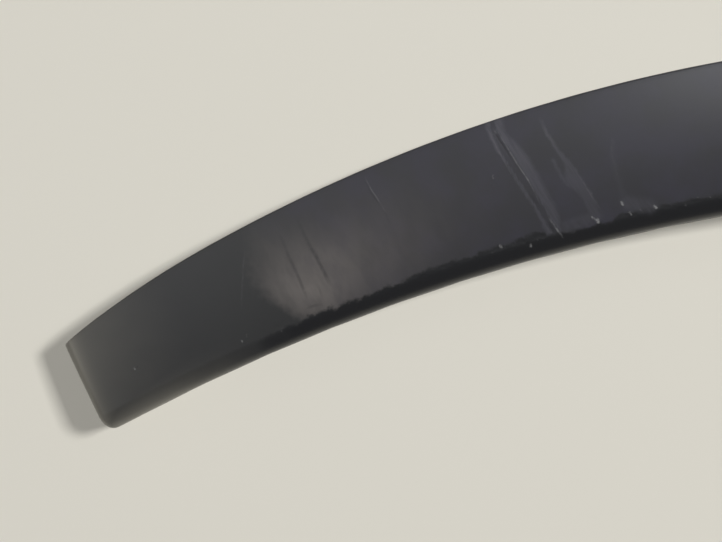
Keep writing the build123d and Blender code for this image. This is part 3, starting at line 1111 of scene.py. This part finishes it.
dull = maths(tree, "MAXIMUM", film_mask, rubbed)
roughness = ramp(tree, dull, 0.0, 1.0, CLEAN_ROUGHNESS, DULL_ROUGHNESS)
grain_sway = maths(tree, "MULTIPLY", maths(tree, "SUBTRACT", grain.outputs["Grain"], 0.5), GRAIN_SPREAD)
feed(tree, shader.inputs["Roughness"], maths(tree, "ADD", roughness, grain_sway))
bump = tree.nodes.new("ShaderNodeBump")
bump.inputs["Strength"].default_value = BUMP_STRENGTH
bump.inputs["Distance"].default_value = BUMP_DISTANCE
feed(tree, bump.inputs["Height"], grain.outputs["Grain"])
feed(tree, shader.inputs["Normal"], bump.outputs["Normal"])
skin_mesh.materials.clear()
skin_mesh.materials.append(plastic)
print("material", plastic.name, "with", len(tree.nodes), "nodes")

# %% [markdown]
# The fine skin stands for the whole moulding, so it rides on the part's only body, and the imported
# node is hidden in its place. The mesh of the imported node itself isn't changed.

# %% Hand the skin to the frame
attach(skin, "root")
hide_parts("arch_moulding")
print(skin.name, "stands for", moulding.name)

# %% [markdown]
# The trim lies on a plain pale table in warm white. It is only there to carry the shadow and to be
# reflected in the lip, so one colour is enough.

# %% Table
TABLE_SIZE = 3.0
TABLE_COLOUR = (0.69, 0.665, 0.59, 1)
TABLE_ROUGHNESS = 0.6

floor_mesh = bpy.data.meshes.new("table")
table_corners = [(x * TABLE_SIZE, y * TABLE_SIZE, 0) for x, y in ((-1, -1), (1, -1), (1, 1), (-1, 1))]
floor_mesh.from_pydata(table_corners, [], [(0, 1, 2, 3)])
floor = bpy.data.objects.new("table", floor_mesh)
bpy.context.scene.collection.objects.link(floor)
table_paint = bpy.data.materials.new("table_paint")
table_paint.use_nodes = True
table_shader = table_paint.node_tree.nodes["Principled BSDF"]
table_shader.inputs["Base Color"].default_value = TABLE_COLOUR
table_shader.inputs["Roughness"].default_value = TABLE_ROUGHNESS
floor_mesh.materials.append(table_paint)
print("table of", 2 * TABLE_SIZE, "m")

# %% [markdown]
# The light is a plain soft studio. The surround has three glows that the satin face mirrors: a window
# at the upper right, which gives the far part its gleam, and two broad, faint ones above and to the left.
# The surround only shows in reflections, so it casts no soft dark rim round the trim. A camera that
# looks past the table sees a plain pale backdrop.

# %% Surround
SURROUND = 0.26
SURROUND_COLOUR = (0.96, 0.975, 1, 1)
BACKDROP = 0.72
# Glows: turn in the picture, height above the table, spread, strength
GLOWS = {
    "window": (58.0, 43.0, 14.0, 6.9),
    "above": (92.0, 50.0, 36.0, 0.5),
    "left": (155.0, 42.0, 42.0, 0.8),
}


def picture_way(turn, height):
    """Direction given by a turn in the picture and a height above the table, in degrees."""
    turn, height = math.radians(CAMERA_ROLL + turn), math.radians(height)
    return Vector((math.cos(turn) * math.cos(height), math.sin(turn) * math.cos(height), math.sin(height)))


def alignment(tree, first, second):
    """How far two directions agree, as their dot product."""
    node = tree.nodes.new("ShaderNodeVectorMath")
    node.operation = "DOT_PRODUCT"
    feed(tree, node.inputs[0], first)
    feed(tree, node.inputs[1], second)
    return node.outputs["Value"]


world = bpy.data.worlds.new("studio")
bpy.context.scene.world = world
world.use_nodes = True
world.cycles_visibility.diffuse = False
sky = world.node_tree
background = sky.nodes["Background"]
background.inputs["Color"].default_value = SURROUND_COLOUR
sky_way = sky.nodes.new("ShaderNodeTexCoord").outputs["Generated"]
brightness = SURROUND
for turn, height, spread, strength in GLOWS.values():
    facing = alignment(sky, sky_way, picture_way(turn, height))
    glow = ramp(sky, facing, math.cos(math.radians(spread)), 1.0, 0.0, strength)
    brightness = maths(sky, "ADD", glow, brightness)
seen = sky.nodes.new("ShaderNodeLightPath").outputs["Is Camera Ray"]
feed(sky, background.inputs["Strength"], ramp(sky, seen, 0.0, 1.0, brightness, BACKDROP))
print("surround with", len(GLOWS), "glows:", ", ".join(GLOWS))

# %% [markdown]
# Two lamps light the table and the plastic. The key lamp from the right throws the shadow of the leg
# end, and the top lamp from overhead keeps the table bright right up to the long edges. Together they
# make a level surface about as bright as its colour is written. They are left out of reflections,
# where the surround already shows a window.

# %% Lamps
LAMP_DISTANCE = 6.0
# Lamps: turn in the picture, height above the table, width, power
LAMPS = {"key_light": (19.0, 50.0, 0.9, 250.0), "top_light": (275.0, 87.0, 0.8, 155.0)}

below_camera = Vector((CAMERA_PLACE[0], CAMERA_PLACE[1], 0)) * MM
for name, (turn, height, width, power) in LAMPS.items():
    lamp_data = bpy.data.lights.new(name, "AREA")
    lamp_data.energy = power
    lamp_data.size = width
    lamp = bpy.data.objects.new(name, lamp_data)
    lamp_way = picture_way(turn, height)
    lamp.location = below_camera + lamp_way * LAMP_DISTANCE
    lamp.rotation_euler = lamp_way.to_track_quat("Z", "Y").to_euler()
    lamp.visible_glossy = False
    bpy.context.scene.collection.objects.link(lamp)
    print(name, "of", power, "W at", [round(c, 2) for c in lamp.location])
bpy.context.scene.view_settings.view_transform = "Standard"

# %% [markdown]

# %% Finish
print("finished")
